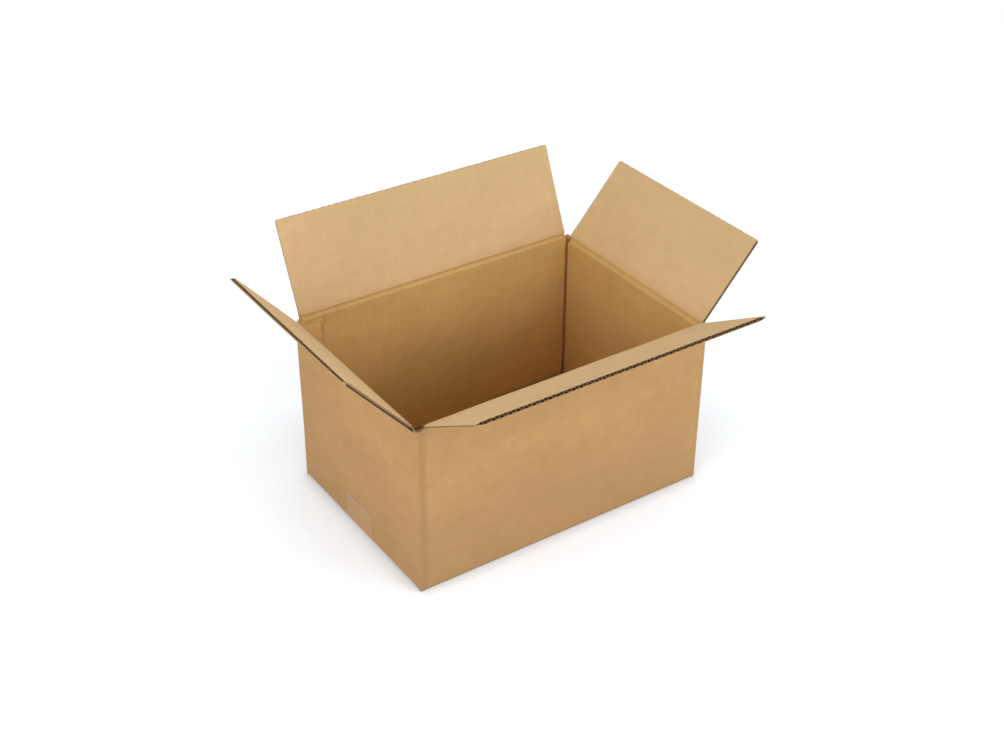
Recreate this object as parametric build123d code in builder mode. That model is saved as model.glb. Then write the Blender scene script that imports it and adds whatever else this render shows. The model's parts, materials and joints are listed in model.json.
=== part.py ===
"""Open cardboard shipping box: one folded sheet of corrugated board with four top flaps, in millimetres.

The origin is at the middle of the underside. +X runs along the long walls, +Y to the back, +Z up.
"""
import os
from math import atan2, cos, degrees, floor, radians, sin

from build123d import *

# Overall size, outside
box_length = 320.0              # along the long walls
box_width = 222.0               # along the end walls
box_height = 176.0              # underside to the top of the closed flaps
top_flap_length = 95.0          # score to free edge, all four top flaps
inner_bottom_flap_length = 95.0

# Corrugated board
board = 4.2                     # thickness of the single-wall board
liner = 0.3                     # thickness of each flat facing
medium = 0.3                    # thickness of the fluted paper between two flutes
flute_pitch = 7.9
flute_tip_share = 0.2           # flat at the tip of a flute, as a share of the pitch
crushed_length = 9.0            # flutes are crushed shut this far from the score

# Scores, slots and glue lap
slot_inset = 6.0                # flap's side edge, in from the outside of the neighbouring wall
hinge_gap = 0.3                 # clearance in a top score, between wall and flap
layer_gap = 0.2                 # clearance between an inner flap and the outer flap that covers it
seam_gap = 0.6                  # between the two outer bottom flaps
corner_radius = 3.0             # outside of the vertical folds
score_radius = 2.0              # groove of the vertical folds, inside
bottom_fold_radius = 2.5        # outside of the bottom folds
lap_width = 25.0
lap_thickness = 3.6             # the glued lap is pressed a little thinner than the board
lap_taper = 3.0                 # slope of the lap's two ends
lap_clearance = 0.8             # between the lap's ends and the flaps above and below it
lap_fold_radius = 1.2           # outside of the fold between the left wall and the lap
raw_edge_inset = 1.5            # back wall's cut edge, in from the outside of the left wall

# Sealing tape of the bottom seam
tape_width = 48.0
tape_thickness = 0.1
tape_top = 32.0                 # how high the tape laps up the end walls

# How far each top flap leans out from upright, in degrees
front_lean = 59.0
back_lean = 23.0
left_lean = 42.0
right_lean = 41.0

# Half sizes, outside and inside
half_length = box_length / 2
half_width = box_width / 2
inside_half_length = half_length - board
inside_half_width = half_width - board
outer_flap_half = half_length - slot_inset
inner_flap_half = half_width - slot_inset

# Levels: the inner flaps fold one board inside the outer ones, at the bottom and at the top
outer_floor = tape_thickness
inner_floor = outer_floor + board + layer_gap
floor_top = inner_floor + board
fold_top = floor_top + board
corner_foot = outer_floor + board / 2
outer_hinge = box_height
inner_hinge = outer_hinge - board - layer_gap
slot_bottom = inner_hinge - hinge_gap

# Flutes: channels of trapezoid section, wide at the liner and narrow at the tip
channel_depth = board - 2 * liner - medium
channel_tip = flute_tip_share * flute_pitch
channel_mouth = flute_pitch - 2 * medium - channel_tip
channel_side_angle = degrees(atan2(channel_depth, (channel_mouth - channel_tip) / 2))

os.makedirs("parts", exist_ok=True)

# Carton body: walls, bottom flaps and glue lap, all one folded sheet
with BuildPart() as carton_body:
    # Four walls with rounded vertical folds, from the slots below to the slots above
    with BuildSketch(Plane.XY.offset(corner_foot)) as walls:
        RectangleRounded(box_length, box_width, corner_radius)
        Rectangle(2 * inside_half_length, 2 * inside_half_width, mode=Mode.SUBTRACT)
        # The back wall's cut edge stops short of the left wall's outside
        with Locations((-half_length, half_width)):
            Rectangle(2 * raw_edge_inset, 2 * board, mode=Mode.SUBTRACT)
        lap_fold = walls.vertices().sort_by_distance((-half_length, inside_half_width, corner_foot))[0]
        fillet(lap_fold, radius=lap_fold_radius)
    extrude(amount=slot_bottom - corner_foot)

    # Between the bottom slots the walls end where their flaps fold in
    with BuildSketch(Plane.XY.offset(corner_foot)):
        Rectangle(box_length, 2 * inner_flap_half)
        Rectangle(2 * outer_flap_half, box_width)
    extrude(amount=fold_top - corner_foot, mode=Mode.SUBTRACT)

    # Bottom flaps: outer pair from the long walls to the seam, inner pair from the end walls
    inner_tip = half_length - inner_bottom_flap_length
    for plane, reach, tip, level, half_span in (
        (Plane.YZ, half_width, seam_gap / 2, outer_floor, outer_flap_half),
        (Plane.XZ, half_length, inner_tip, inner_floor, inner_flap_half),
    ):
        for side in (-1, 1):
            outside = side * reach
            inside = side * (reach - board)
            fold_end = side * (reach - bottom_fold_radius)
            with BuildSketch(plane):
                with BuildLine():
                    Line((outside, fold_top), (outside, level + bottom_fold_radius))
                    TangentArc((outside, level + bottom_fold_radius), (fold_end, level), tangent=(0, -1))
                    Polyline(
                        (fold_end, level),
                        (side * tip, level),
                        (side * tip, level + board),
                        (inside, level + board),
                        (inside, fold_top),
                        (outside, fold_top),
                    )
                make_face()
            extrude(amount=half_span, both=True)

    # Long walls rise past the top slots to the scores of the outer flaps
    with BuildSketch(Plane.XY.offset(slot_bottom)):
        with Locations((0, half_width - board / 2), (0, board / 2 - half_width)):
            Rectangle(2 * outer_flap_half, board)
    extrude(amount=outer_hinge - hinge_gap - slot_bottom)

    # Glue lap of the left wall, inside the back wall, with tapered ends
    lap_root = -inside_half_length
    lap_edge = lap_root + lap_width
    lap_bottom = floor_top + lap_clearance
    lap_top = inner_hinge - board - lap_clearance
    with BuildSketch(Plane.XZ.offset(-inside_half_width)):
        with BuildLine():
            Polyline(
                (lap_root, lap_bottom),
                (lap_edge, lap_bottom + lap_taper),
                (lap_edge, lap_top - lap_taper),
                (lap_root, lap_top),
                close=True,
            )
        make_face()
    extrude(amount=lap_thickness)

    # Grooves of the vertical scores, in the inside corners
    with BuildSketch(Plane.XY.offset(fold_top)):
        with Locations(
            (inside_half_length, inside_half_width),
            (inside_half_length, -inside_half_width),
            (-inside_half_length, -inside_half_width),
            (-inside_half_length, inside_half_width - lap_thickness),
        ):
            Circle(score_radius)
    extrude(amount=slot_bottom - fold_top, mode=Mode.SUBTRACT)

    # Top scores: the inside of each wall is bevelled back to its outer liner
    for plane, reach, level, half_span in (
        (Plane.YZ, half_width, outer_hinge, outer_flap_half),
        (Plane.XZ, half_length, inner_hinge, inner_flap_half),
    ):
        for side in (-1, 1):
            with BuildSketch(plane):
                with BuildLine():
                    Polyline(
                        (side * reach, level),
                        (side * (reach - board), level),
                        (side * (reach - board), level - board),
                        close=True,
                    )
                make_face()
            extrude(amount=half_span, both=True, mode=Mode.SUBTRACT)

carton_body.part.label = "carton_body"
export_step(carton_body.part, "parts/carton_body.step")

# Sealing tape: one strip along the bottom seam, across the slots and up both end walls
with BuildPart() as bottom_tape:
    strip_half = [
        (outer_flap_half, 0),
        (half_length + tape_thickness, inner_floor),
        (half_length + tape_thickness, tape_top),
        (half_length, tape_top),
        (half_length, inner_floor),
        (outer_flap_half, outer_floor),
    ]
    with BuildSketch(Plane.XZ):
        with BuildLine():
            Polyline(*strip_half, *[(-x, z) for x, z in reversed(strip_half)], close=True)
        make_face()
    extrude(amount=tape_width / 2, both=True)

bottom_tape.part.label = "bottom_tape"
export_step(bottom_tape.part, "parts/bottom_tape.step")


def make_top_flap(label, outward, reach, level, lean, half_span):
    """A top flap that turns on the wall's outer liner, with flutes open at its free edge."""
    up = Vector(0, 0, 1)
    hinge = outward * reach + up * level
    along = up * cos(radians(lean)) + outward * sin(radians(lean))
    inward = up * sin(radians(lean)) - outward * cos(radians(lean))
    section = Plane(origin=hinge, x_dir=along, z_dir=along.cross(inward))
    free_edge = Plane(origin=hinge + along * top_flap_length, x_dir=section.z_dir, z_dir=-along)
    flutes = floor(2 * half_span / flute_pitch)

    with BuildPart() as flap:
        # Board with its root bevelled, to match the bevel of the wall
        with BuildSketch(section):
            with BuildLine():
                Polyline(
                    (hinge_gap, 0),
                    (top_flap_length, 0),
                    (top_flap_length, board),
                    (board + hinge_gap, board),
                    close=True,
                )
            make_face()
        extrude(amount=half_span, both=True)

        # Channels between the fluted paper and the two liners
        with BuildSketch(free_edge):
            with Locations((0, liner + channel_depth / 2)):
                with GridLocations(flute_pitch, flute_pitch, flutes, 1):
                    Trapezoid(channel_mouth, channel_depth, channel_side_angle)
            with Locations((0, board - liner - channel_depth / 2)):
                with GridLocations(flute_pitch, flute_pitch, flutes - 1, 1):
                    Trapezoid(channel_mouth, channel_depth, channel_side_angle, rotation=180)
        extrude(amount=top_flap_length - crushed_length, mode=Mode.SUBTRACT)

    flap.part.label = label
    export_step(flap.part, f"parts/{label}.step")


front = Vector(0, -1, 0)
right = Vector(1, 0, 0)
make_top_flap("front_flap", front, half_width, outer_hinge, front_lean, outer_flap_half)
make_top_flap("back_flap", -front, half_width, outer_hinge, back_lean, outer_flap_half)
make_top_flap("left_flap", -right, half_length, inner_hinge, left_lean, inner_flap_half)
make_top_flap("right_flap", right, half_length, inner_hinge, right_lean, inner_flap_half)
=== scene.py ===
# %% [markdown]
# # An open cardboard box
# A shipping box is one sheet of corrugated board: two flat papers, the liners, glued to a wavy one, the
# medium. A factory cuts the sheet flat, presses scores into it and folds it. This lesson works the same
# way. It describes the papers in flat coordinates, folds every point into place, and leaves the wavy paper
# open to view wherever the sheet is cut. The solids of the frame say where the walls and hinges are.

# %% Load the frame
import json
from math import cos, pi, radians, sin

import bmesh
import bpy
import numpy as np
from mathutils import Matrix, Vector


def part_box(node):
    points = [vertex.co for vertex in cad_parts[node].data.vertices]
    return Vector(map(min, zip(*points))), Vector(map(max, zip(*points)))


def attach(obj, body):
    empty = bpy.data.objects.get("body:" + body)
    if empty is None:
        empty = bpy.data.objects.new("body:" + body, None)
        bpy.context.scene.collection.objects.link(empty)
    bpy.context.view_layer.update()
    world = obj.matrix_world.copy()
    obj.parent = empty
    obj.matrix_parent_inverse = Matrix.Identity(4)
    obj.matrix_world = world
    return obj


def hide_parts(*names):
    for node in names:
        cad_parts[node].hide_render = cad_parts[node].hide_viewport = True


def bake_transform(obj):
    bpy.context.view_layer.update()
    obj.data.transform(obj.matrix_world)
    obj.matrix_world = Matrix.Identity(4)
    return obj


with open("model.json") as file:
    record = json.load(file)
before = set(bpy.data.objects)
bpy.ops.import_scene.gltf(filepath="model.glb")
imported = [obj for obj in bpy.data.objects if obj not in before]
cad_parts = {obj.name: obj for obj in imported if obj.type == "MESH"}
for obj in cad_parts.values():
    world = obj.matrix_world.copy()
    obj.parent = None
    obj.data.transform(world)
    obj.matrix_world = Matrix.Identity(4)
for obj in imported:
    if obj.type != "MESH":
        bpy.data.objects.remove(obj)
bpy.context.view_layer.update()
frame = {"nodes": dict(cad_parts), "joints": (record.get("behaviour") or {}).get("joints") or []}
print("solids:", sorted(frame["nodes"]))

# %% [markdown]
# ## Sizes
# The outside sizes and the hinge lines could be typed in again, but they would then drift from the solids.
# They are read from the frame, so the papers fit the solids whatever their size. A closed flap is a quarter
# turn in from upright, so a hinge's lowest angle also tells how far its flap leans out at rest. Only the
# make-up of the board itself is written here.

# %% Sizes of the box and its board
mm = 0.001
quarter_turn = 90
half_length, half_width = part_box("carton_body")[1].xy
walls = ("left", "front", "right", "back")
left_wall, front_wall, right_wall, back_wall = range(len(walls))
hinges = [next(joint for joint in frame["joints"] if joint["child"] == wall + "_flap") for wall in walls]
hinge_height = np.array([hinge["pos_m"][2] for hinge in hinges])
lean = np.radians([-hinge["range_deg"][0] - quarter_turn for hinge in hinges])

board = 4.2 * mm
liner = 0.35 * mm
medium = 0.3 * mm
flute_pitch = 7.9 * mm
flap_length = 95 * mm
slot_inset = 6 * mm             # a flap's side edge, in from the outside of the next wall
flap_half = np.array([half_width, half_length, half_width, half_length]) - slot_inset
print("leans in degrees:", dict(zip(walls, np.degrees(lean).round(1))))

# %% [markdown]
# ## Camera
# A view can be set by eye, but then a taller box and a steeper view are easily confused. This one was found
# by fitting a pinhole camera to the corners of the box in the photograph. Blender's camera looks along its
# own -Z axis, so its rotation is a matrix of three columns: right, up and back. A slight roll turns right
# and up about the line of sight.

# %% Camera
image_width = 1004
focal_length_pixels = 1563.0
sensor_width = 36.0
camera_distance = 1507.7 * mm
azimuth, elevation = -34.31, 32.79
roll = radians(0.42)
aim = Vector((4.0, 2.2, 112.3)) * mm


def direction(around, above):
    """The direction at an azimuth, from the front round to the right, and an elevation, in degrees."""
    around, above = radians(around), radians(above)
    return Vector((sin(around) * cos(above), -cos(around) * cos(above), sin(above)))


backward = direction(azimuth, elevation)
level = direction(azimuth + quarter_turn, 0)
rightward = level * cos(roll) + backward.cross(level) * sin(roll)
turned = Matrix((rightward, backward.cross(rightward), backward)).transposed().to_4x4()
camera = bpy.data.objects.new("camera", bpy.data.cameras.new("camera"))
camera.data.sensor_width = sensor_width
camera.data.lens = sensor_width * focal_length_pixels / image_width
camera.matrix_world = Matrix.Translation(aim + backward * camera_distance) @ turned
bpy.context.scene.collection.objects.link(camera)
bpy.context.scene.camera = camera
print("lens in millimetres:", round(camera.data.lens, 1))

# %% [markdown]
# ## Shader arithmetic
# A material's pattern is a sum of simple waves and noises. Adding a Math node for each plus and times by
# hand hides the idea, so this small class wraps a socket and lets Python's own operators add the nodes. One
# method makes every other kind of node: its settings come first, then the values or links of its sockets.
# Two short methods keep what this box needs often, a soft stripe and a stretched noise.


# %% A socket that understands arithmetic
class Wire:
    """A node's output; plus, minus and times on it add Math nodes to its tree."""

    def __init__(self, tree, socket=None):
        self.tree = tree
        self.socket = socket

    def node(self, kind, settings=None, sockets=None, output=0):
        """Adds a node with these settings and socket values or links, and gives one of its outputs."""
        made = self.tree.nodes.new("ShaderNode" + kind)
        for name, value in (settings or {}).items():
            setattr(made, name, value)
        for name, value in (sockets or {}).items():
            if isinstance(value, Wire):
                self.tree.links.new(value.socket, made.inputs[name])
            else:
                made.inputs[name].default_value = value
        return Wire(self.tree, made.outputs[output])

    def math(self, operation, first, second=0.0, clamp=False):
        return self.node("Math", {"operation": operation, "use_clamp": clamp}, {0: first, 1: second})

    def __add__(self, other):
        return self.math("ADD", self, other)

    def __sub__(self, other):
        return self.math("SUBTRACT", self, other)

    def __rsub__(self, other):
        return self.math("SUBTRACT", other, self)

    def __mul__(self, other):
        return self.math("MULTIPLY", self, other)

    __radd__ = __add__
    __rmul__ = __mul__

    def stripe(self, middle, half):
        """A soft stripe: 1 where this value is at the middle, and fading away on both sides."""
        away = (self - middle) * (1 / half)
        return self.math("EXPONENT", away * away * -1)

    def grain(self, stretch, detail, roughness):
        """A noise about zero over these coordinates, finer where the stretch is larger."""
        spread = self.node("Mapping", None, {"Vector": self, "Scale": stretch})
        sockets = {0: spread, "Scale": 1.0, "Detail": detail, "Roughness": roughness}
        return self.node("TexNoise", {"noise_dimensions": "2D"}, sockets) - 0.5

    def tint(self, share, first, second):
        """A colour between two others, by a share from 0 to 1."""
        sockets = {0: share, 6: first, 7: second}    # a Mix node's colours are its inputs 6 and 7
        return self.node("Mix", {"data_type": "RGBA", "clamp_factor": True}, sockets, output=2)

    def feed(self, shader, name):
        """Links this output to a shader's socket."""
        self.tree.links.new(self.socket, shader.inputs[name])


print("operators ready:", [name for name in vars(Wire) if name.startswith("__r")])

# %% [markdown]
# ## Floor
# The box stands on a white sweep that shows nothing but soft shade. In light that suits the box, a matt
# floor comes out pale grey, with brown light from the box on it, and more light would bleach the box. So
# the floor also glows a little, but only for rays that come from the camera: the box gets its light from
# the matt floor alone. The glow dies away in the crack under the box, and is weaker where the box hides the
# light from the front, which gives the soft shadow behind it.

# %% What the camera sees
white_rays = ("Is Camera Ray", "Is Glossy Ray", "Is Transmission Ray")


def seen_directly(tree):
    """1 for rays from the camera, and for those that a glossy or clear surface passes on from it."""
    path = Wire(tree)
    direct, mirrored, through = [path.node("LightPath", output=ray) for ray in white_rays]
    return path.math("MAXIMUM", path.math("MAXIMUM", direct, mirrored), through)


print("rays that see the white background:", white_rays)

# %% White sweep
floor_size = 12.0
floor_colour = (0.78, 0.78, 0.78, 1)
glow_colour = (0.74, 0.87, 1.0, 1)    # a little cool, against the brown light from the box
glow_strength = 0.5
contact = 14 * mm               # nearer to the box than this the glow dies away
shade_reach = 115 * mm          # a wall or flap this near takes some of the glow, where it hides the front
towards_front = (-0.36, -0.79, 0.5)
shade_samples = 8

sweep = bpy.data.materials.new("white sweep")
sweep.use_nodes = True
sweep.node_tree.nodes.clear()
paint = Wire(sweep.node_tree)
matt = paint.node("BsdfDiffuse", None, {"Color": floor_colour})
glow = paint.node("Emission", None, {"Color": glow_colour, "Strength": glow_strength})
bright = paint.node("AddShader", None, {0: matt, 1: glow})
quality = {"samples": shade_samples}
clear = paint.node("AmbientOcclusion", quality, {"Distance": contact}, output="AO")
facing = paint.node("CombineXYZ", None, dict(enumerate(towards_front)))    # unlinked, it would face up
open_side = {"Distance": shade_reach, "Normal": facing}
open_front = paint.node("AmbientOcclusion", quality, open_side, output="AO")
glowing = seen_directly(sweep.node_tree) * clear * open_front
mixed = paint.node("MixShader", None, {0: glowing, 1: matt, 2: bright})
surface = sweep.node_tree.nodes.new("ShaderNodeOutputMaterial")
mixed.feed(surface, "Surface")

bpy.ops.mesh.primitive_plane_add(size=floor_size)
floor = bpy.context.object
floor.name = "floor"
floor.data.materials.append(sweep)
print("floor in metres:", floor_size)

# %% [markdown]
# ## Light
# The photographed box has the even shade of a light tent: no hard shadow, walls almost as bright as the
# flaps, and an inside that darkens slowly. Lamps alone would need many of them, so a sky does most of it,
# with a bright band all round at a low angle and a dim, slightly warm roof. Two near softboxes tell the
# sides apart, a cool one to the right of the front and a warm one on the left. The camera itself sees a
# plain white sky.

# %% Sky
white = (1, 1, 1, 1)
band_strength = 2.8
band_height, band_spread = 0.38, 0.13    # as the sine of the elevation, and so is the roof's start
roof_strength = 0.58
roof_start = 0.7
roof_colour = (1.0, 0.95, 0.88, 1)

world = bpy.data.worlds.new("studio")
world.use_nodes = True
bpy.context.scene.world = world
sky = world.node_tree.nodes["Background"]
dome = Wire(world.node_tree)
directly = seen_directly(world.node_tree)
height_up = dome.node("SeparateXYZ", None, {0: dome.node("TexCoord", output="Generated")}, output="Z")
band = height_up.stripe(band_height, band_spread) * band_strength
roof = dome.math("GREATER_THAN", height_up, roof_start)
dome.tint(roof, white, roof_colour).feed(sky, "Color")
((1 - directly) * (band + roof * roof_strength) + directly).feed(sky, "Strength")
bpy.context.scene.view_settings.view_transform = "Standard"
print("band", band_strength, "roof", roof_strength)

# %% Softboxes
softboxes = {                   # azimuth, elevation, distance and size in metres, watts, colour
    "front": (28, 20, 1.4, 1.0, 5.8, (0.97, 1.0, 1.04)),
    "left": (-76, 25, 1.3, 1.0, 3.7, (1.0, 0.93, 0.85)),
}
for name, (around, above, distance, size, watts, tone) in softboxes.items():
    towards = direction(around, above)
    lamp = bpy.data.objects.new(name, bpy.data.lights.new(name, "AREA"))
    lamp.data.shape = "SQUARE"
    lamp.data.size = size
    lamp.data.energy = watts
    lamp.data.color = tone
    lamp.location = towards * distance
    lamp.rotation_euler = towards.to_track_quat("Z", "Y").to_euler()
    bpy.context.scene.collection.objects.link(lamp)
print("softboxes:", list(softboxes))

# %% [markdown]
# ## Round the box
# Seen from above, the sheet starts with a glue lap inside the back wall, turns the back left corner and runs
# along the left, front, right and back walls. A distance along this line is the sheet's first flat
# coordinate. A curve object could carry it, but straight runs and quarter-circle folds are simple enough for
# a formula, and a formula gives the outward direction of the paper at every point as well.

# %% The line of the walls
corner_radius = 1.0 * mm
lap_radius = 1.2 * mm
lap_width = 25 * mm
raw_edge_inset = 1.5 * mm

lap_line = half_width - board
stops = np.array([
    (board + lap_width - half_length, lap_line),
    (-half_length, lap_line),
    (-half_length, -half_width),
    (half_length, -half_width),
    (half_length, half_width),
    (raw_edge_inset - half_length, half_width),
])
fold_radii = (lap_radius, corner_radius, corner_radius, corner_radius)
runs = []                       # where each straight run begins, its first point and direction
bends = []                      # where each fold begins, its centre, radius and first direction
travelled = 0.0
for i, (first, last) in enumerate(zip(stops, stops[1:])):
    heading = (last - first) / np.linalg.norm(last - first)
    first = first + heading * (fold_radii[i - 1] if i else 0)
    last = last - heading * (fold_radii[i] if i < len(fold_radii) else 0)
    runs.append((travelled, first, heading))
    travelled += np.linalg.norm(last - first)
    if i < len(fold_radii):
        inward = np.array((-heading[1], heading[0]))
        bends.append((travelled, last + inward * fold_radii[i], fold_radii[i], heading))
        travelled += fold_radii[i] * pi / 2
sheet_end = travelled
lap_end = bends[0][0]
lap_side = sheet_end + raw_edge_inset - board - lap_width    # the back wall meets the lap's cut edge here
wall_middle = np.array([begin - first @ heading for begin, first, heading in runs[1:]])
print("sheet length in millimetres:", round(sheet_end / mm, 1))

# %% Points along the line
rounding = 1e-7                 # distances this close count as equal


def round_the_box(u):
    """Points of the outer liner and outward directions, at distances u along the sheet."""
    point = np.zeros(u.shape + (2,))
    outward = np.zeros(u.shape + (2,))
    for i, (begin, first, heading) in enumerate(runs):
        on = u >= begin - rounding
        point[on] = first + np.multiply.outer(u[on] - begin, heading)
        outward[on] = (heading[1], -heading[0])
        if i < len(bends):
            begin, centre, radius, heading = bends[i]
            on = u >= begin - rounding
            angle = np.minimum((u[on] - begin) / radius, pi / 2)
            outward[on] = np.multiply.outer(np.cos(angle), (heading[1], -heading[0]))
            outward[on] += np.multiply.outer(np.sin(angle), heading)
            point[on] = centre + radius * outward[on]
    return point, outward


print("middles of the walls:", round_the_box(wall_middle)[0].round(3).tolist())

# %% [markdown]
# ## Kraft paper
# Kraft paper is brown from unbleached pulp. Close up it has long fibres that lie mostly along the paper
# machine's direction, round the box, with darker flecks, soft clouds and faint streaks. The flutes behind a
# liner telegraph through it as a washboard, which is a bump in the height and also painted shade in the
# colour. A picture of paper would repeat and blur. These are noises and a sine wave in the flat sheet's own
# coordinates, kept in a UV map, so the pattern turns the corners and stays on a flap when it moves.

# %% Grain of the paper
sheet_map = "sheet"
grains = {                      # stretch round and up the sheet, detail, roughness
    "clouds": ((9, 13, 1), 3, 0.55),
    "mottle": ((60, 85, 1), 4, 0.55),
    "fibres": ((210, 1500, 1), 5, 0.7),
    "streaks": ((7, 330, 1), 3, 0.55),
    "flecks": ((650, 1100, 1), 2, 0.55),
}
shades = {"clouds": 0.9, "mottle": 0.7, "fibres": 0.45, "streaks": 0.2}    # how much each changes the colour
reliefs = {"fibres": 0.35, "mottle": 0.4}    # and the height
# the ribs' stripes in the colour are painted shade of the washboard, beside its bump
rib_painted_shade, rib_relief = 0.045, 0.12
fleck_level, fleck_shade = 0.24, 0.35    # only the peaks of their noise are flecks


def paper_grain(flat, washboard):
    """How pale the paper is from 0 to 1, its height for a bump, and its fibres."""
    noises = {name: flat.grain(*grain) for name, grain in grains.items()}
    round_box = flat.node("SeparateXYZ", None, {0: flat})
    ribs = flat.math("SINE", round_box * (2 * pi / flute_pitch))
    # painted shade of the ribs
    pale_share = 0.5 + ribs * (rib_painted_shade * washboard)
    for name, weight in shades.items():
        pale_share = pale_share + noises[name] * weight
    flecks = flat.math("GREATER_THAN", noises["flecks"], fleck_level)
    height = ribs * (rib_relief * washboard)
    for name, weight in reliefs.items():
        height = height + noises[name] * weight
    return pale_share - flecks * fleck_shade, height, noises["fibres"]


print("grains:", list(grains))

# %% [markdown]
# ## Painted shade and two browns
# Shade is painted into the outside's brown: a dark strip beside each corner fold, a darkening low on the
# walls, and a dark line along the bottom folds. Each is a soft stripe or a fade in the flat coordinates, so
# no mask has to be painted. The inside walls are painted a deeper brown as shade, which fades to the paler
# brown of the flaps across the scores.

# %% Where shade is painted into the paper
# painted shade: a dark strip just past each corner fold
fold_shade_place, fold_shade_half = 3.6 * mm, 3.2 * mm
# painted shade: the walls darken towards the bottom
low_shade_height = 120 * mm
low_shade_share = 0.5
low_shade_brown = (0.39, 0.235, 0.118, 1)
# painted shade: a dark line along the bottom folds, where their underside is in shadow
foot_shade_place, foot_shade_half = 0.9 * mm, 1.3 * mm
foot_shade_share = 0.5
foot_shade_brown = (0.25, 0.17, 0.10, 1)
# painted shade inside: the walls get a deeper brown, which fades into the flaps' paler brown above the
# scores
inside_shade_start, inside_shade_run = 174 * mm, 10 * mm
inside_shade_pale = (0.709, 0.455, 0.172, 1)
inside_shade_deep = (0.555, 0.348, 0.128, 1)


def brown_with_painted_shade(flat, share, pale, deep):
    """A brown with painted shade beside the corner folds, low on the walls and along the bottom folds."""
    round_box = flat.node("SeparateXYZ", None, {0: flat})
    up_sheet = flat.node("SeparateXYZ", None, {0: flat}, output=1)
    for begin, _, radius, _ in bends[1:]:
        share = share - round_box.stripe(begin + radius * pi / 2 + fold_shade_place, fold_shade_half)
    low = flat.math("SUBTRACT", 1.0, up_sheet * (1 / low_shade_height), clamp=True)
    brown = flat.tint(low * low_shade_share, flat.tint(share, deep, pale), low_shade_brown)
    foot_shading = up_sheet.stripe(foot_shade_place, foot_shade_half) * foot_shade_share
    return flat.tint(foot_shading, brown, foot_shade_brown)


def inside_shaded_brown(flat, share, pale, deep):
    """A brown that is deeper on the inside walls than on the flaps, as painted shade."""
    up_sheet = flat.node("SeparateXYZ", None, {0: flat}, output=1)
    out_of_shade = (up_sheet - inside_shade_start) * (1 / inside_shade_run)
    return flat.tint(out_of_shade, flat.tint(share, inside_shade_deep, inside_shade_pale), flat.tint(share, deep, pale))


print("the inside fades from", round(inside_shade_start / mm), "mm up the sheet, over", round(inside_shade_run / mm))

# %% Kraft paper finishes
paper_roughness, fibre_roughness = 0.84, 0.15
paper_specular = 0.22
relief_strength, relief_distance = 0.35, 0.12 * mm
# the last column paints shade into the brown: beside the folds, low on the walls and along the bottom folds
# outside, and on the walls inside
kraft_papers = {                # paler and deeper brown, how far the flutes show through, what darkens it
    "outer kraft liner": ((0.582, 0.351, 0.148, 1), (0.449, 0.271, 0.115, 1), 0.3, brown_with_painted_shade),
    "inner kraft liner": ((0.750, 0.525, 0.277, 1), (0.630, 0.441, 0.233, 1), 0.8, inside_shaded_brown),
    "cut paper edges": ((0.56, 0.37, 0.19, 1), (0.44, 0.28, 0.14, 1), 0.0, brown_with_painted_shade),
    "flute paper": ((0.50, 0.32, 0.17, 1), (0.40, 0.25, 0.13, 1), 0.0, brown_with_painted_shade),
}


def kraft_paper(name, pale, deep, washboard, colouring):
    """A matt paper between two browns."""
    material = bpy.data.materials.new(name)
    material.use_nodes = True
    shader = material.node_tree.nodes["Principled BSDF"]
    flat = Wire(material.node_tree).node("UVMap", {"uv_map": sheet_map})
    share, height, fibres = paper_grain(flat, washboard)
    colouring(flat, share, pale, deep).feed(shader, "Base Color")
    (paper_roughness + fibres * fibre_roughness).feed(shader, "Roughness")
    shader.inputs["Specular IOR Level"].default_value = paper_specular
    relief = {"Strength": relief_strength, "Distance": relief_distance, "Height": height}
    flat.node("Bump", None, relief).feed(shader, "Normal")
    return material


finishes = [kraft_paper(name, *make_up) for name, make_up in kraft_papers.items()]
outer_skin, inner_skin, cut_skin, flute_skin = range(len(finishes))
outer_skins = (outer_skin, flute_skin, cut_skin)    # a paper's near face, far face and rim
inner_skins = (flute_skin, inner_skin, cut_skin)
flute_skins = (flute_skin, flute_skin, flute_skin)
print("papers:", [material.name for material in finishes])

# %% [markdown]
# ## Up the walls
# The second flat coordinate runs up the sheet: a bottom flap, its fold, the wall, the score of the top flap
# and the flap. Bones or a bend modifier could fold a flat mesh, but both folds are plain arcs, so each
# point's height and distance out come from the angle turned so far. Depth is measured in from the outer
# liner, square to the paper.

# %% Folding a flat point into place
outer_floor = 0.1 * mm
layer_gap = 0.2 * mm
inner_floor = outer_floor + board + layer_gap
end_foot = 1.2 * mm             # underside of an end wall's bottom fold
floor_level = np.array([end_foot, outer_floor] * 2)
floor_step = np.array([inner_floor - end_foot, 0] * 2 + [0])    # up from the fold, over the outer flaps
step_run = 4 * mm
bottom_radius = 1.8 * mm
score_radius = 1.6 * mm

corner_strip = len(walls)       # a strip at a corner counts as a fifth wall, which never folds
far_away = 1.0                  # its folds lie this far above and below, so any lean will do
any_lean = 0.1
hinge_height = np.append(hinge_height, far_away)
floor_level = np.append(floor_level, -far_away)
lean = np.append(lean, any_lean)


def ease(share):
    """A smooth step from 0 to 1."""
    share = np.clip(share, 0, 1)
    return share * share * (3 - 2 * share)


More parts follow.
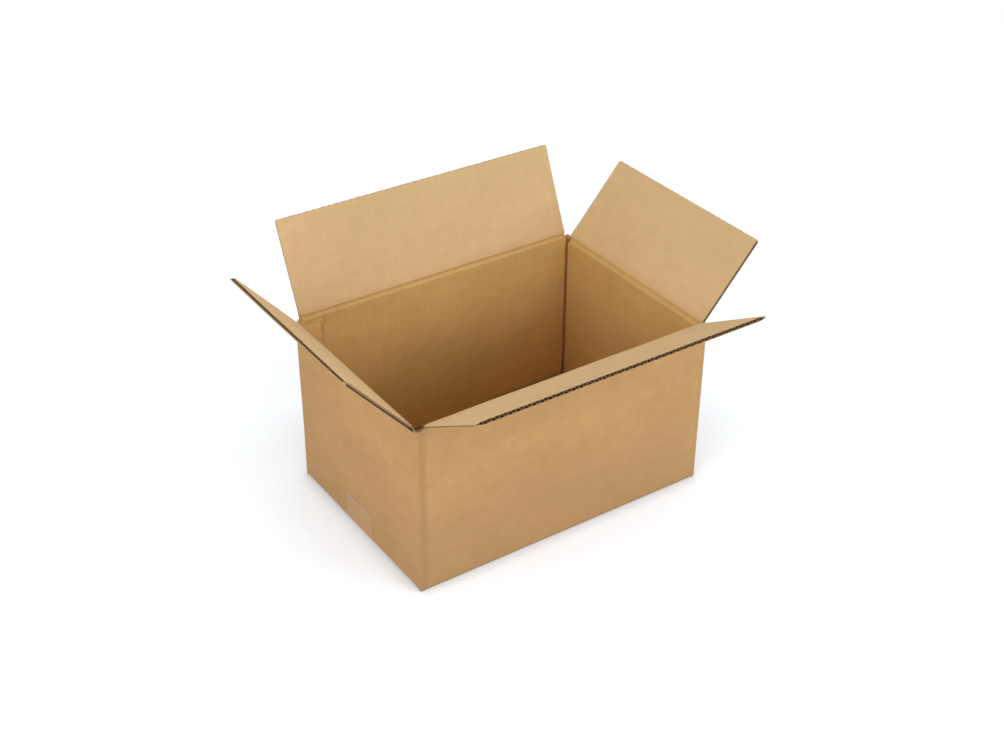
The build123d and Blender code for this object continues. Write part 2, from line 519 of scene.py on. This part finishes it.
def fold(wall, u, v, depth):
    """Folds flat points: u round the box, v up the sheet, depth in from the outer liner."""
    foot = floor_level[wall] + bottom_radius
    turn = np.clip((foot - v) / bottom_radius, 0, pi / 2)
    floor_run = np.clip(foot - v - bottom_radius * pi / 2, 0, None)
    brow = hinge_height[wall] - score_radius * np.tan(lean[wall] / 2)
    tilt = np.clip((v - brow) / score_radius, 0, lean[wall])
    flap_run = np.clip(v - brow - score_radius * lean[wall], 0, None)
    out = score_radius * (1 - np.cos(tilt)) + flap_run * np.sin(lean[wall])
    out -= bottom_radius * (1 - np.cos(turn)) + floor_run + depth * np.cos(tilt) * np.cos(turn)
    height = np.clip(v, foot, brow) + score_radius * np.sin(tilt) + flap_run * np.cos(lean[wall])
    height += (depth - bottom_radius) * np.sin(turn) + depth * np.sin(tilt)
    height += floor_step[wall] * ease(floor_run / step_run)
    point, outward = round_the_box(u)
    return np.concatenate([point + outward * out[..., None], height[..., None]], axis=-1)


outer_hinge = hinge_height[front_wall]
front_score = fold(front_wall, wall_middle[[front_wall]], hinge_height[[front_wall]], np.zeros(1))
print("score of the front flap:", front_score.round(4))

# %% [markdown]
# ## Crushed board
# Board is only as thick as its flutes are whole. The scores and folds are pressed in on purpose, the punch
# that cuts the slots squeezes the board beside them, and the cut edges at the glued corner are flattened.
# Dents could be sculpted by hand. A formula for the thickness that is left puts the same dent into all
# three papers. Each crushed place names the least that is left and the run over which the board recovers.

# %% Thickness of the board
crushed = 2.3 * mm              # left at the top scores
wall_shoulder = 2.0 * mm
flap_shoulder = 2.4 * mm
creased = 1.1 * mm              # left at the folds of the corners and the bottom
fold_shoulder = 3.4 * mm
corner_shoulder = 2.4 * mm
crease_half = 3.2 * mm          # flat bottom of the groove inside a corner
lap_board = 3.6 * mm            # the glued lap is pressed a little thinner
slot_depth = 0.8 * mm
slot_bottom = outer_hinge - slot_depth
strip_crush = 0.75 * mm         # left at the top of a corner strip
strip_run = 5 * mm
slot_crush = np.array([3.5, 1.7] * 2) * mm    # left along a flap's side edges, where the slots were punched
slot_run = 7 * mm
pinched = 0.9 * mm              # left where a slot ends beside a score
pinch_across, pinch_up = 4 * mm, 5 * mm
raw_crush = 1.2 * mm            # left at the back wall's cut edge
raw_run = 4.4 * mm
lap_groove = 1.5 * mm           # pressed into the back wall along the lap's cut edge
groove_half = 2.0 * mm


def recover(least, away, run):
    """The thickness at some distance from a crushed place."""
    return least + (board - least) * ease(away / run)


def thickness(wall, u, v):
    """The board's thickness, less wherever it is crushed."""
    score = hinge_height[wall]
    foot = floor_level[wall] + bottom_radius
    floor_start = foot - bottom_radius * pi / 2
    thick = recover(crushed, np.abs(v - score), np.where(v < score, wall_shoulder, flap_shoulder))
    thick = np.minimum(thick, recover(creased, np.maximum(v - foot, floor_start - v), fold_shoulder))
    for begin, _, radius, _ in bends:
        from_bend = np.maximum(begin - u, u - begin - radius * pi / 2) - crease_half
        thick = np.minimum(thick, recover(creased, from_bend, corner_shoulder))
    thick = np.where(u < lap_end, np.minimum(thick, lap_board), thick)
    if wall == corner_strip:
        thick = np.minimum(thick, recover(strip_crush, slot_bottom - v, strip_run))
    else:
        from_side = flap_half[wall] - np.abs(u - wall_middle[wall])
        punched = recover(slot_crush[wall], from_side, slot_run)
        thick = np.minimum(thick, board + (punched - board) * ease((v - score) / slot_run))
        from_end = np.maximum(ease(from_side / pinch_across), ease(np.abs(v - score) / pinch_up))
        thick = np.minimum(thick, pinched + (board - pinched) * from_end)
    thick = np.minimum(thick, recover(raw_crush, sheet_end - u, raw_run))
    beside_lap = np.abs(u - lap_side) / groove_half
    return thick - lap_groove * (1 - ease(beside_lap)) * (v > foot) * (v < score - wall_shoulder)


at_score = thickness(front_wall, wall_middle[[front_wall]], hinge_height[[front_wall]])
print("left at the front score, in millimetres:", (at_score / mm).round(2))

# %% [markdown]
# ## Not quite flat
# A real sheet is never quite flat. A displace modifier would swell the papers apart, so slow sine waves are
# added to the depth of all three instead. Flaps curl a little, the long ones outward and the short ones
# inward, so that the closed flaps still lie on each other. Beside each corner fold runs a shallow dent.

# %% Slight waviness
swell = 0.22 * mm
swell_start, swell_run = 15 * mm, 50 * mm    # the bottom folds keep the foot of the walls straight
waves = (                       # share, rate and phase round the box, rate and phase up the sheet
    (1.0, 21, 0.7, 33, 0.4),
    (0.6, 57, 2.0, 41, 1.1),
)
curl = np.array([0.5, -0.5, 0.4, -0.4, 0.0]) * mm
dent = 0.4 * mm
dent_place = 4.2 * mm
dent_width = 2.2 * mm


def waviness(wall, u, v):
    """How far the sheet lies in from its true place."""
    sway = 0
    for share, rate, phase, rate_up, phase_up in waves:
        sway = sway + share * np.sin(rate * u + phase) * np.sin(rate_up * v + phase_up)
    inward = swell * sway * ease((v - swell_start) / swell_run)
    inward = inward + curl[wall] * (np.clip(v - hinge_height[wall], 0, None) / flap_length) ** 2
    for begin, _, radius, _ in bends[1:]:
        away = np.maximum(begin - u, u - begin - radius * pi / 2)
        inward = inward + dent * np.exp(-((away - dent_place) / dent_width) ** 2)
    return inward


print("curl of the flaps in millimetres:", dict(zip(walls, (curl / mm).round(2))))

# %% [markdown]
# ## Cutting papers
# Every paper is a closed thin sheet: a near face, a far face and a rim where it is cut. A solidify modifier
# could thicken one face, but the liners bend and thin where they are crushed, so both faces are folded on
# their own. One function closes two grids of points into a sheet, and another joins several papers into one
# mesh. Where two patches of the same paper continue each other there is no rim, and merging welds them.

# %% A paper
decimals = 7                    # grid lines are rounded to a tenth of a micrometre
far_shift = 3.7                 # along the map, so that a paper's two faces differ in grain


def grid_lines(start, *spans):
    """Grid lines from a start over spans of (end, spacing), one after another."""
    lines = []
    for end, spacing in spans:
        lines.append(np.linspace(start, end, 1 + max(1, round((end - start) / spacing))))
        start = end
    return np.unique(np.concatenate(lines).round(decimals))


def closed_sheet(near, far, near_flat, far_flat, skins, joined=(False, False)):
    """Points, flat coordinates and faces of a thin sheet between two grids; joined sides get no rim."""
    rows, columns = near.shape[:2]
    count = rows * columns
    index = np.arange(count).reshape(rows, columns)
    a, b, c, d = index[:-1, :-1], index[:-1, 1:], index[1:, 1:], index[1:, :-1]
    start_rim, end_rim = [~np.broadcast_to(side, rows - 1) for side in joined]
    faces = [
        (skins[0], np.stack([a, b, c, d], -1).reshape(-1, 4)),
        (skins[1], np.stack([a, d, c, b], -1).reshape(-1, 4) + count),
        (skins[2], np.stack([a, a + count, b + count, b], -1)[0]),
        (skins[2], np.stack([d, c, c + count, d + count], -1)[-1]),
        (skins[2], np.stack([a, d, d + count, a + count], -1)[start_rim, 0]),
        (skins[2], np.stack([b, b + count, c + count, c], -1)[end_rim, -1]),
    ]
    points = np.concatenate([near.reshape(-1, 3), far.reshape(-1, 3)])
    return points, np.concatenate([near_flat.reshape(-1, 2), far_flat.reshape(-1, 2)]), faces


def paper(wall, u, v, near, far, skins, joined=(False, False), raised=0.0):
    """A paper over a grid of flat points, between two depths."""
    inward = waviness(wall, u, v)
    sides = [fold(wall, u, v, depth + inward) for depth in (near, far)]
    flats = [np.stack([u + shift, v + raised], -1) for shift in (0, far_shift)]
    return closed_sheet(*sides, *flats, skins, joined)


print("a grid:", (grid_lines(0, (2 * liner, liner), (board, board)) / mm).round(2))

# %% A piece of several papers
weld = 1e-6
sharp_angle = radians(38)       # edges that turn more than this are shaded sharp


def piece(name, papers, coats=finishes):
    """One mesh object from several papers, with their flat coordinates as a UV map."""
    points, flats, quads, skins, start = [], [], [], [], 0
    for paper_points, flat, faces in papers:
        points.append(paper_points)
        flats.append(flat)
        for skin, corners in faces:
            quads.append(corners + start)
            skins.append(np.full(len(corners), skin))
        start += len(paper_points)
    mesh = bpy.data.meshes.new(name)
    mesh.from_pydata(np.concatenate(points), [], np.concatenate(quads))
    mesh.polygons.foreach_set("material_index", np.concatenate(skins).astype(np.int32))
    corner_points = np.empty(len(mesh.loops), np.int32)
    mesh.loops.foreach_get("vertex_index", corner_points)
    layer = mesh.uv_layers.new(name=sheet_map)
    layer.uv.foreach_set("vector", np.concatenate(flats)[corner_points].astype(np.float32).ravel())
    shape = bmesh.new()
    shape.from_mesh(mesh)
    bmesh.ops.remove_doubles(shape, verts=shape.verts, dist=weld)
    shape.to_mesh(mesh)
    shape.free()
    mesh.shade_smooth()
    mesh.set_sharp_from_angle(angle=sharp_angle)
    for coat in coats:
        mesh.materials.append(coat)
    made = bpy.data.objects.new(name, mesh)
    bpy.context.scene.collection.objects.link(made)
    print(name, "triangles:", 2 * len(mesh.polygons))
    return made


print("points within", weld / mm, "mm are welded")

# %% [markdown]
# ## Board
# A patch of board is three papers: the outer liner, the inner liner and the medium between them, which
# swings from one to the other in a wave. A thick slab with a striped edge would do from far away, but here
# the cut edges are seen from close by, with dark holes between the flutes. Where the board is crushed the
# wave has no room and dies away. The knife leaves a burr along a free edge, and wear rounds its corners.

# %% Cut edges
ragged = 0.14 * mm              # unevenness of a cut edge
ragged_band = 12 * mm           # a flap's sides are uneven only this near to its free edge
blunt = 0.6 * mm                # lost at a flap's corners
blunt_run = 4 * mm
side_press = 0.4                # share of a slot's crushing that comes from outside
rng = np.random.default_rng(seed=11)


def trimmed(u, v):
    """Flat points with an uneven top and side edges and blunt top corners."""
    u, v = u.copy(), v.copy()
    free = ease((v - v[-1] + ragged_band) / blunt_run)
    from_side = np.minimum(u - u[:, :1], u[:, -1:] - u)
    v -= blunt * free * (1 - ease(from_side / blunt_run)) ** 2
    v[-1] += rng.uniform(-ragged, ragged, v.shape[1])
    u[:, 0] += rng.uniform(-ragged, ragged, len(u)) * free[:, 0]
    u[:, -1] += rng.uniform(-ragged, ragged, len(u)) * free[:, -1]
    return u, v


def pressed_in(wall, u, v):
    """How far the outer liner lies in where the board was crushed from outside."""
    if wall == corner_strip:
        return board - recover(raw_crush, sheet_end - u, raw_run)
    from_side = flap_half[wall] - np.abs(u - wall_middle[wall])
    punched = board - recover(slot_crush[wall], from_side, slot_run)
    return side_press * punched * ease((v - hinge_height[wall]) / slot_run)


print("a cut edge is uneven by", round(ragged / mm, 2), "mm")

# %% Liners and flutes
burr = np.array([1.0, 0.5, 1.4, 1.4]) * mm    # the knife bends the outer liner in by this much
inner_burr = np.array([0.6, 0.3, 1.2, 1.2]) * mm
worn = np.array([(0, 1.2), (1.3, 0), (0, 0.5), (0.5, 0)]) * mm    # more at the start and end of the edge
worn_run = 8 * mm
burr_run = 1.7 * mm
flute_steps = 12


def liners(wall, u_lines, v_lines, joined=(False, False), cut_top=False):
    """The two flat papers of a patch of board, with a knife's burr at a cut top."""
    u, v = np.meshgrid(u_lines, v_lines)
    depth = thickness(wall, u, v)
    near = pressed_in(wall, u, v)
    far = near + depth
    if cut_top:
        bent = ease((v - v[-1] + burr_run) / burr_run) * depth / board
        start_wear = worn[wall, 0] * (1 - ease((u - u_lines[0]) / worn_run))
        end_wear = worn[wall, 1] * (1 - ease((u_lines[-1] - u) / worn_run))
        near = near + (burr[wall] + start_wear + end_wear) * bent
        far = far - inner_burr[wall] * bent
    outer_flat, inner_flat = [trimmed(u, v) if cut_top else (u, v) for _ in range(2)]
    outer = paper(wall, *outer_flat, near, near + liner, outer_skins, joined)
    # the inner liner's map is raised so that its painted shade fades at each wall's own score
    raised = 0 if wall == corner_strip else outer_hinge - hinge_height[wall]
    inner = paper(wall, *inner_flat, far - liner, far, inner_skins, joined, raised)
    return [outer, inner]


def flutes(wall, u_start, u_end, v_lines):
    """The wavy paper of a patch of board."""
    u, v = np.meshgrid(grid_lines(u_start, (u_end, flute_pitch / flute_steps)), v_lines)
    depth = thickness(wall, u, v)
    swing = np.maximum(depth / 2 - liner - medium / 2, 0)
    middle = pressed_in(wall, u, v) + depth / 2 + swing * np.sin(2 * pi * u / flute_pitch)
    return paper(wall, u, v, middle - medium / 2, middle + medium / 2, flute_skins)


print("flutes in a long wall:", round(2 * half_length / flute_pitch))

# %% [markdown]
# ## Carton
# The carton is everything that doesn't move: four walls, four bottom flaps, the corner folds and the glue
# lap. One grid for the whole sheet would need its finest spacing everywhere, so it is cut into patches. Each
# wall is one patch that runs from the free edge of its bottom flap to just below its top score. Narrow
# corner strips join the walls, and end at the slots that set the flaps free.

# %% Where the patches begin and end
seam_gap = 0.6 * mm
inner_bottom_flap = 95 * mm
score_margin = 10 * mm          # a top flap's patch starts this far below its score
side_band, side_step = 6 * mm, 1 * mm

flap_start = hinge_height[:-1] - score_margin
feet = floor_level[:-1] + bottom_radius
fold_end = feet - bottom_radius * pi / 2
bottom_end = fold_end - np.array([inner_bottom_flap, half_width - seam_gap / 2] * 2) + bottom_radius
panel_start = wall_middle - flap_half
panel_end = wall_middle + flap_half


def panel_lines(wall, spacing):
    """Grid lines across a wall or flap, closer at its sides."""
    start, end = panel_start[wall], panel_end[wall]
    return grid_lines(start, (start + side_band, side_step), (end - side_band, spacing), (end, side_step))


print("bottom flaps end at, in millimetres up the sheet:", dict(zip(walls, (bottom_end / mm).round(1))))

# %% Walls and bottom flaps
corner_foot = 0.8 * mm
low_end = 16 * mm
foot_step, bend_step, low_step = 0.4 * mm, 0.8 * mm, 1 * mm
wall_step, brow_step, slot_step = 12 * mm, 2 * mm, 1.5 * mm
panel_step = 10 * mm
fold_band, fold_step = 6 * mm, 0.6 * mm
flute_margin, flute_step = 5 * mm, 20 * mm    # the flutes of a bottom flap stop short of its fold
nudge = 1e-6

wall_lines = grid_lines(
    corner_foot, (min(feet), foot_step), (max(feet), bend_step), (low_end, low_step),
    (min(flap_start), wall_step), (max(flap_start), brow_step), (slot_bottom, slot_step),
)
carton_papers = []
for wall in range(len(walls)):
    foot = feet[wall]
    floor_lines = grid_lines(bottom_end[wall], (fold_end[wall] - fold_band, panel_step), (foot, fold_step))
    upright = wall_lines[(wall_lines > foot - nudge) & (wall_lines < flap_start[wall] + nudge)]
    rows = np.unique(np.concatenate([floor_lines, upright]).round(decimals))
    standing = rows[:-1] > foot - nudge
    carton_papers += liners(wall, panel_lines(wall, panel_step), rows, (standing, standing))
    flute_rows = grid_lines(bottom_end[wall], (fold_end[wall] - flute_margin, flute_step))
    carton_papers.append(flutes(wall, panel_start[wall], panel_end[wall], flute_rows))
print("papers of the walls:", len(carton_papers))

# %% Corner strips
strip_step = 0.7 * mm
strip_rows = [0, 4, -4, -1]     # a strip's flutes show only at its ends, so a few rows are enough
strip_starts = np.append(lap_end, panel_end)
strip_ends = np.append(panel_start, sheet_end)
middles = wall_lines[:-1] + nudge
for i, (start, end) in enumerate(zip(strip_starts, strip_ends)):
    touches = [
        (middles > feet[wall]) & (middles < flap_start[wall]) if 0 <= wall < len(walls) else False
        for wall in (i - 1, i)
    ]
    carton_papers += liners(corner_strip, grid_lines(start, (end, strip_step)), wall_lines, touches)
    carton_papers.append(flutes(corner_strip, start, end, wall_lines[strip_rows]))
print("papers with the corner strips:", len(carton_papers))

# %% [markdown]
# ## Glue lap
# The lap is a strip of the left wall's board, glued to the inside of the back wall. Its ends are tapered so
# that they don't catch on the flaps, and the gluing press flattens its cut edges to a bevel. It uses the
# same papers as the walls. The bevel is a patch of its own, so that it can have the outer liner's darker
# brown towards the inside, as painted shade along the lap's edge.

# %% Lap inside the back wall
lap_taper = 3 * mm
lap_clearance = 0.8 * mm
lap_low = inner_floor + board + lap_clearance
lap_drop = 5.2 * mm             # from the back wall's score to the lap
lap_high = hinge_height[back_wall] - lap_drop
lap_thin = 1.7 * mm             # left beside the closed left flap
lap_press = 16 * mm             # over which the lap thins
lap_lip = 0.75 * mm             # left at the lap's cut edges
lap_bevel = 4 * mm
lap_step, lap_rows = 1 * mm, 61
lap_parts = (                   # start, end, colour towards the inside, which sides are joined
    # the bevel's darker brown towards the inside is painted shade along the lap's edge
    (0, lap_bevel, outer_skin, (False, True)),
    (lap_bevel, lap_end, inner_skin, (True, False)),
)
for start, end, skin, joined in lap_parts:
    across, share = np.meshgrid(grid_lines(start, (end, lap_step)), np.linspace(0, 1, lap_rows))
    slope = lap_taper * (1 - across / lap_end)
    up = lap_low + slope + share * (lap_high - lap_low - 2 * slope)
    below_flap = hinge_height[left_wall] - board - lap_clearance - up
    from_edge = np.minimum(across, lap_high - slope - up) / lap_bevel
    thick = thickness(corner_strip, across, up)
    thick = np.minimum(thick, lap_thin + (lap_board - lap_thin) * ease(below_flap / lap_press))
    thick = np.minimum(thick, lap_lip + (lap_board - lap_lip) * from_edge)
    glued = np.zeros(thick.shape)
    carton_papers.append(paper(corner_strip, across, up, glued, glued + liner, outer_skins, joined))
    skins = (flute_skin, skin, cut_skin)
    carton_papers.append(paper(corner_strip, across, up, thick - liner, thick, skins, joined))

carton = piece("carton_sheet", carton_papers)
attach(carton, "carton")
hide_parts("carton_body")

# %% [markdown] ## Top flaps A top flap's patch starts on the wall, crosses the score and ends at the free
# edge, so the liners run on over the crease as they do on a real box. The flutes stay open at the free
# edge.

# %% Four top flaps
flute_start = 3.5 * mm          # the score has crushed the flutes this far up the flap
flute_recess = 0.3 * mm         # the knife pushes the medium back from the free edge
below_score, above_score, score_step = 7 * mm, 5 * mm, 0.5 * mm
edge_band, edge_step = 6 * mm, 1 * mm
tip_band, tip_step = 2 * mm, 0.4 * mm
flap_step_across, flap_step_up, flap_flute_step = 3 * mm, 4 * mm, 9 * mm

for wall, name in enumerate(walls):
    score = hinge_height[wall]
    flap_end = score + flap_length - score_radius * (2 * np.tan(lean[wall] / 2) - lean[wall])
    up = grid_lines(
        flap_start[wall], (score - below_score, slot_step), (score + above_score, score_step),
        (flap_end - edge_band, flap_step_up), (flap_end - tip_band, edge_step), (flap_end, tip_step),
    )
    flap_papers = liners(wall, panel_lines(wall, flap_step_across), up, cut_top=True)
    flute_rows = grid_lines(score + flute_start, (flap_end - flute_recess, flap_flute_step))
    flap_papers.append(flutes(wall, panel_start[wall], panel_end[wall], flute_rows))
    flap = piece(name + "_flap_sheet", flap_papers)
    outward = Vector((*round_the_box(wall_middle[[wall]])[1][0], 0))
    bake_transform(flap)
    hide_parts(name + "_flap")

# %% [markdown]
# ## Sealing tape
# One strip of packing tape closes the bottom seam and laps up both end walls, and a toothed blade cut its
# ends. It is brown film with a satin face, glued so well that it hardly shows. A shrinkwrapped plane would
# follow the walls, but would also dip into the slots. So the strip is a line of points in profile, spread
# over the tape's width. It follows the walls' own swell and bridges the gap under each end wall.

# %% Tape film
film_dark = (0.44, 0.268, 0.130, 1)
film_pale = (0.49, 0.298, 0.147, 1)
film_grain = ((35, 160, 1), 3.0, 0.5)
film_roughness, film_unevenness = 0.5, 0.2
film_specular = 0.2
film_strength, film_distance = 0.3, 0.25 * mm

tape = bpy.data.materials.new("packing tape")
tape.use_nodes = True
film_shader = tape.node_tree.nodes["Principled BSDF"]
film = Wire(tape.node_tree).node("UVMap", {"uv_map": sheet_map})
film_noise = film.grain(*film_grain)
film.tint(0.5 + film_noise, film_dark, film_pale).feed(film_shader, "Base Color")
(film_roughness + film_noise * film_unevenness).feed(film_shader, "Roughness")
film_shader.inputs["Specular IOR Level"].default_value = film_specular
film_bump = {"Strength": film_strength, "Distance": film_distance, "Height": film_noise}
film.node("Bump", None, film_bump).feed(film_shader, "Normal")
print("film:", tape.name)

# %% Profile of the tape
tape_width = 48 * mm
tape_top = 32 * mm
tape_lift = 0.12 * mm           # clear of the paper under it
tape_thickness = 0.1 * mm
tooth_pitch, tooth_depth = 1.6 * mm, 0.9 * mm
rise_step = 2 * mm
turn_steps, seam_steps = 6, 16

tape_y = grid_lines(-tape_width / 2, (tape_width / 2, tooth_pitch / 2))
teeth = tooth_depth * (np.arange(len(tape_y)) % 2)
rise = grid_lines(end_foot + bottom_radius, (tape_top, rise_step))
turn = np.linspace(0, pi / 2, turn_steps + 1)[1:]
turn_out = bottom_radius * (1 - np.cos(turn))
turn_down = end_foot + bottom_radius - bottom_radius * np.sin(turn)
seam_x = np.linspace(half_length - slot_inset, 0, seam_steps + 1)
profile_in = np.concatenate([0 * rise, turn_out, half_length - seam_x])
profile_up = np.concatenate([rise[::-1], turn_down, 0 * seam_x + tape_thickness / 2])
print("points in half a profile:", len(profile_in), "and across:", len(tape_y))

# %% Tape along the bottom seam
film_points = []
film_flats = []
for side, wall in ((-1, left_wall), (1, right_wall)):
    across, inset = np.meshgrid(tape_y, profile_in)
    up = np.repeat(profile_up[:, None], len(tape_y), 1)
    up[0] -= teeth
    swelling = waviness(wall, wall_middle[wall] + side * across, up) * (inset == 0)
    lifted = tape_lift * (inset < slot_inset)
    film_points.append(np.stack([side * (half_length - inset + lifted - swelling), across, up], -1))
    film_flats.append(np.stack([side * (half_length - inset + up), across], -1))
film_points = np.concatenate([film_points[0], film_points[1][-2::-1]])
film_flats = np.concatenate([film_flats[0], film_flats[1][-2::-1]])

outside = np.cross(np.gradient(film_points, axis=0), (0, 1, 0))
outside /= np.linalg.norm(outside, axis=-1, keepdims=True)
outside *= np.sign(np.sum(outside * (film_points - (0, 0, tape_top)), -1, keepdims=True))
film_sides = [film_points + outside * lift for lift in (tape_thickness / 2, -tape_thickness / 2)]
film_sheet = closed_sheet(*film_sides, film_flats, film_flats, (0, 0, 0))
strip = piece("bottom_tape_strip", [film_sheet], (tape,))
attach(strip, "carton")
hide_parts("bottom_tape")

# %% [markdown]
# ## Finish
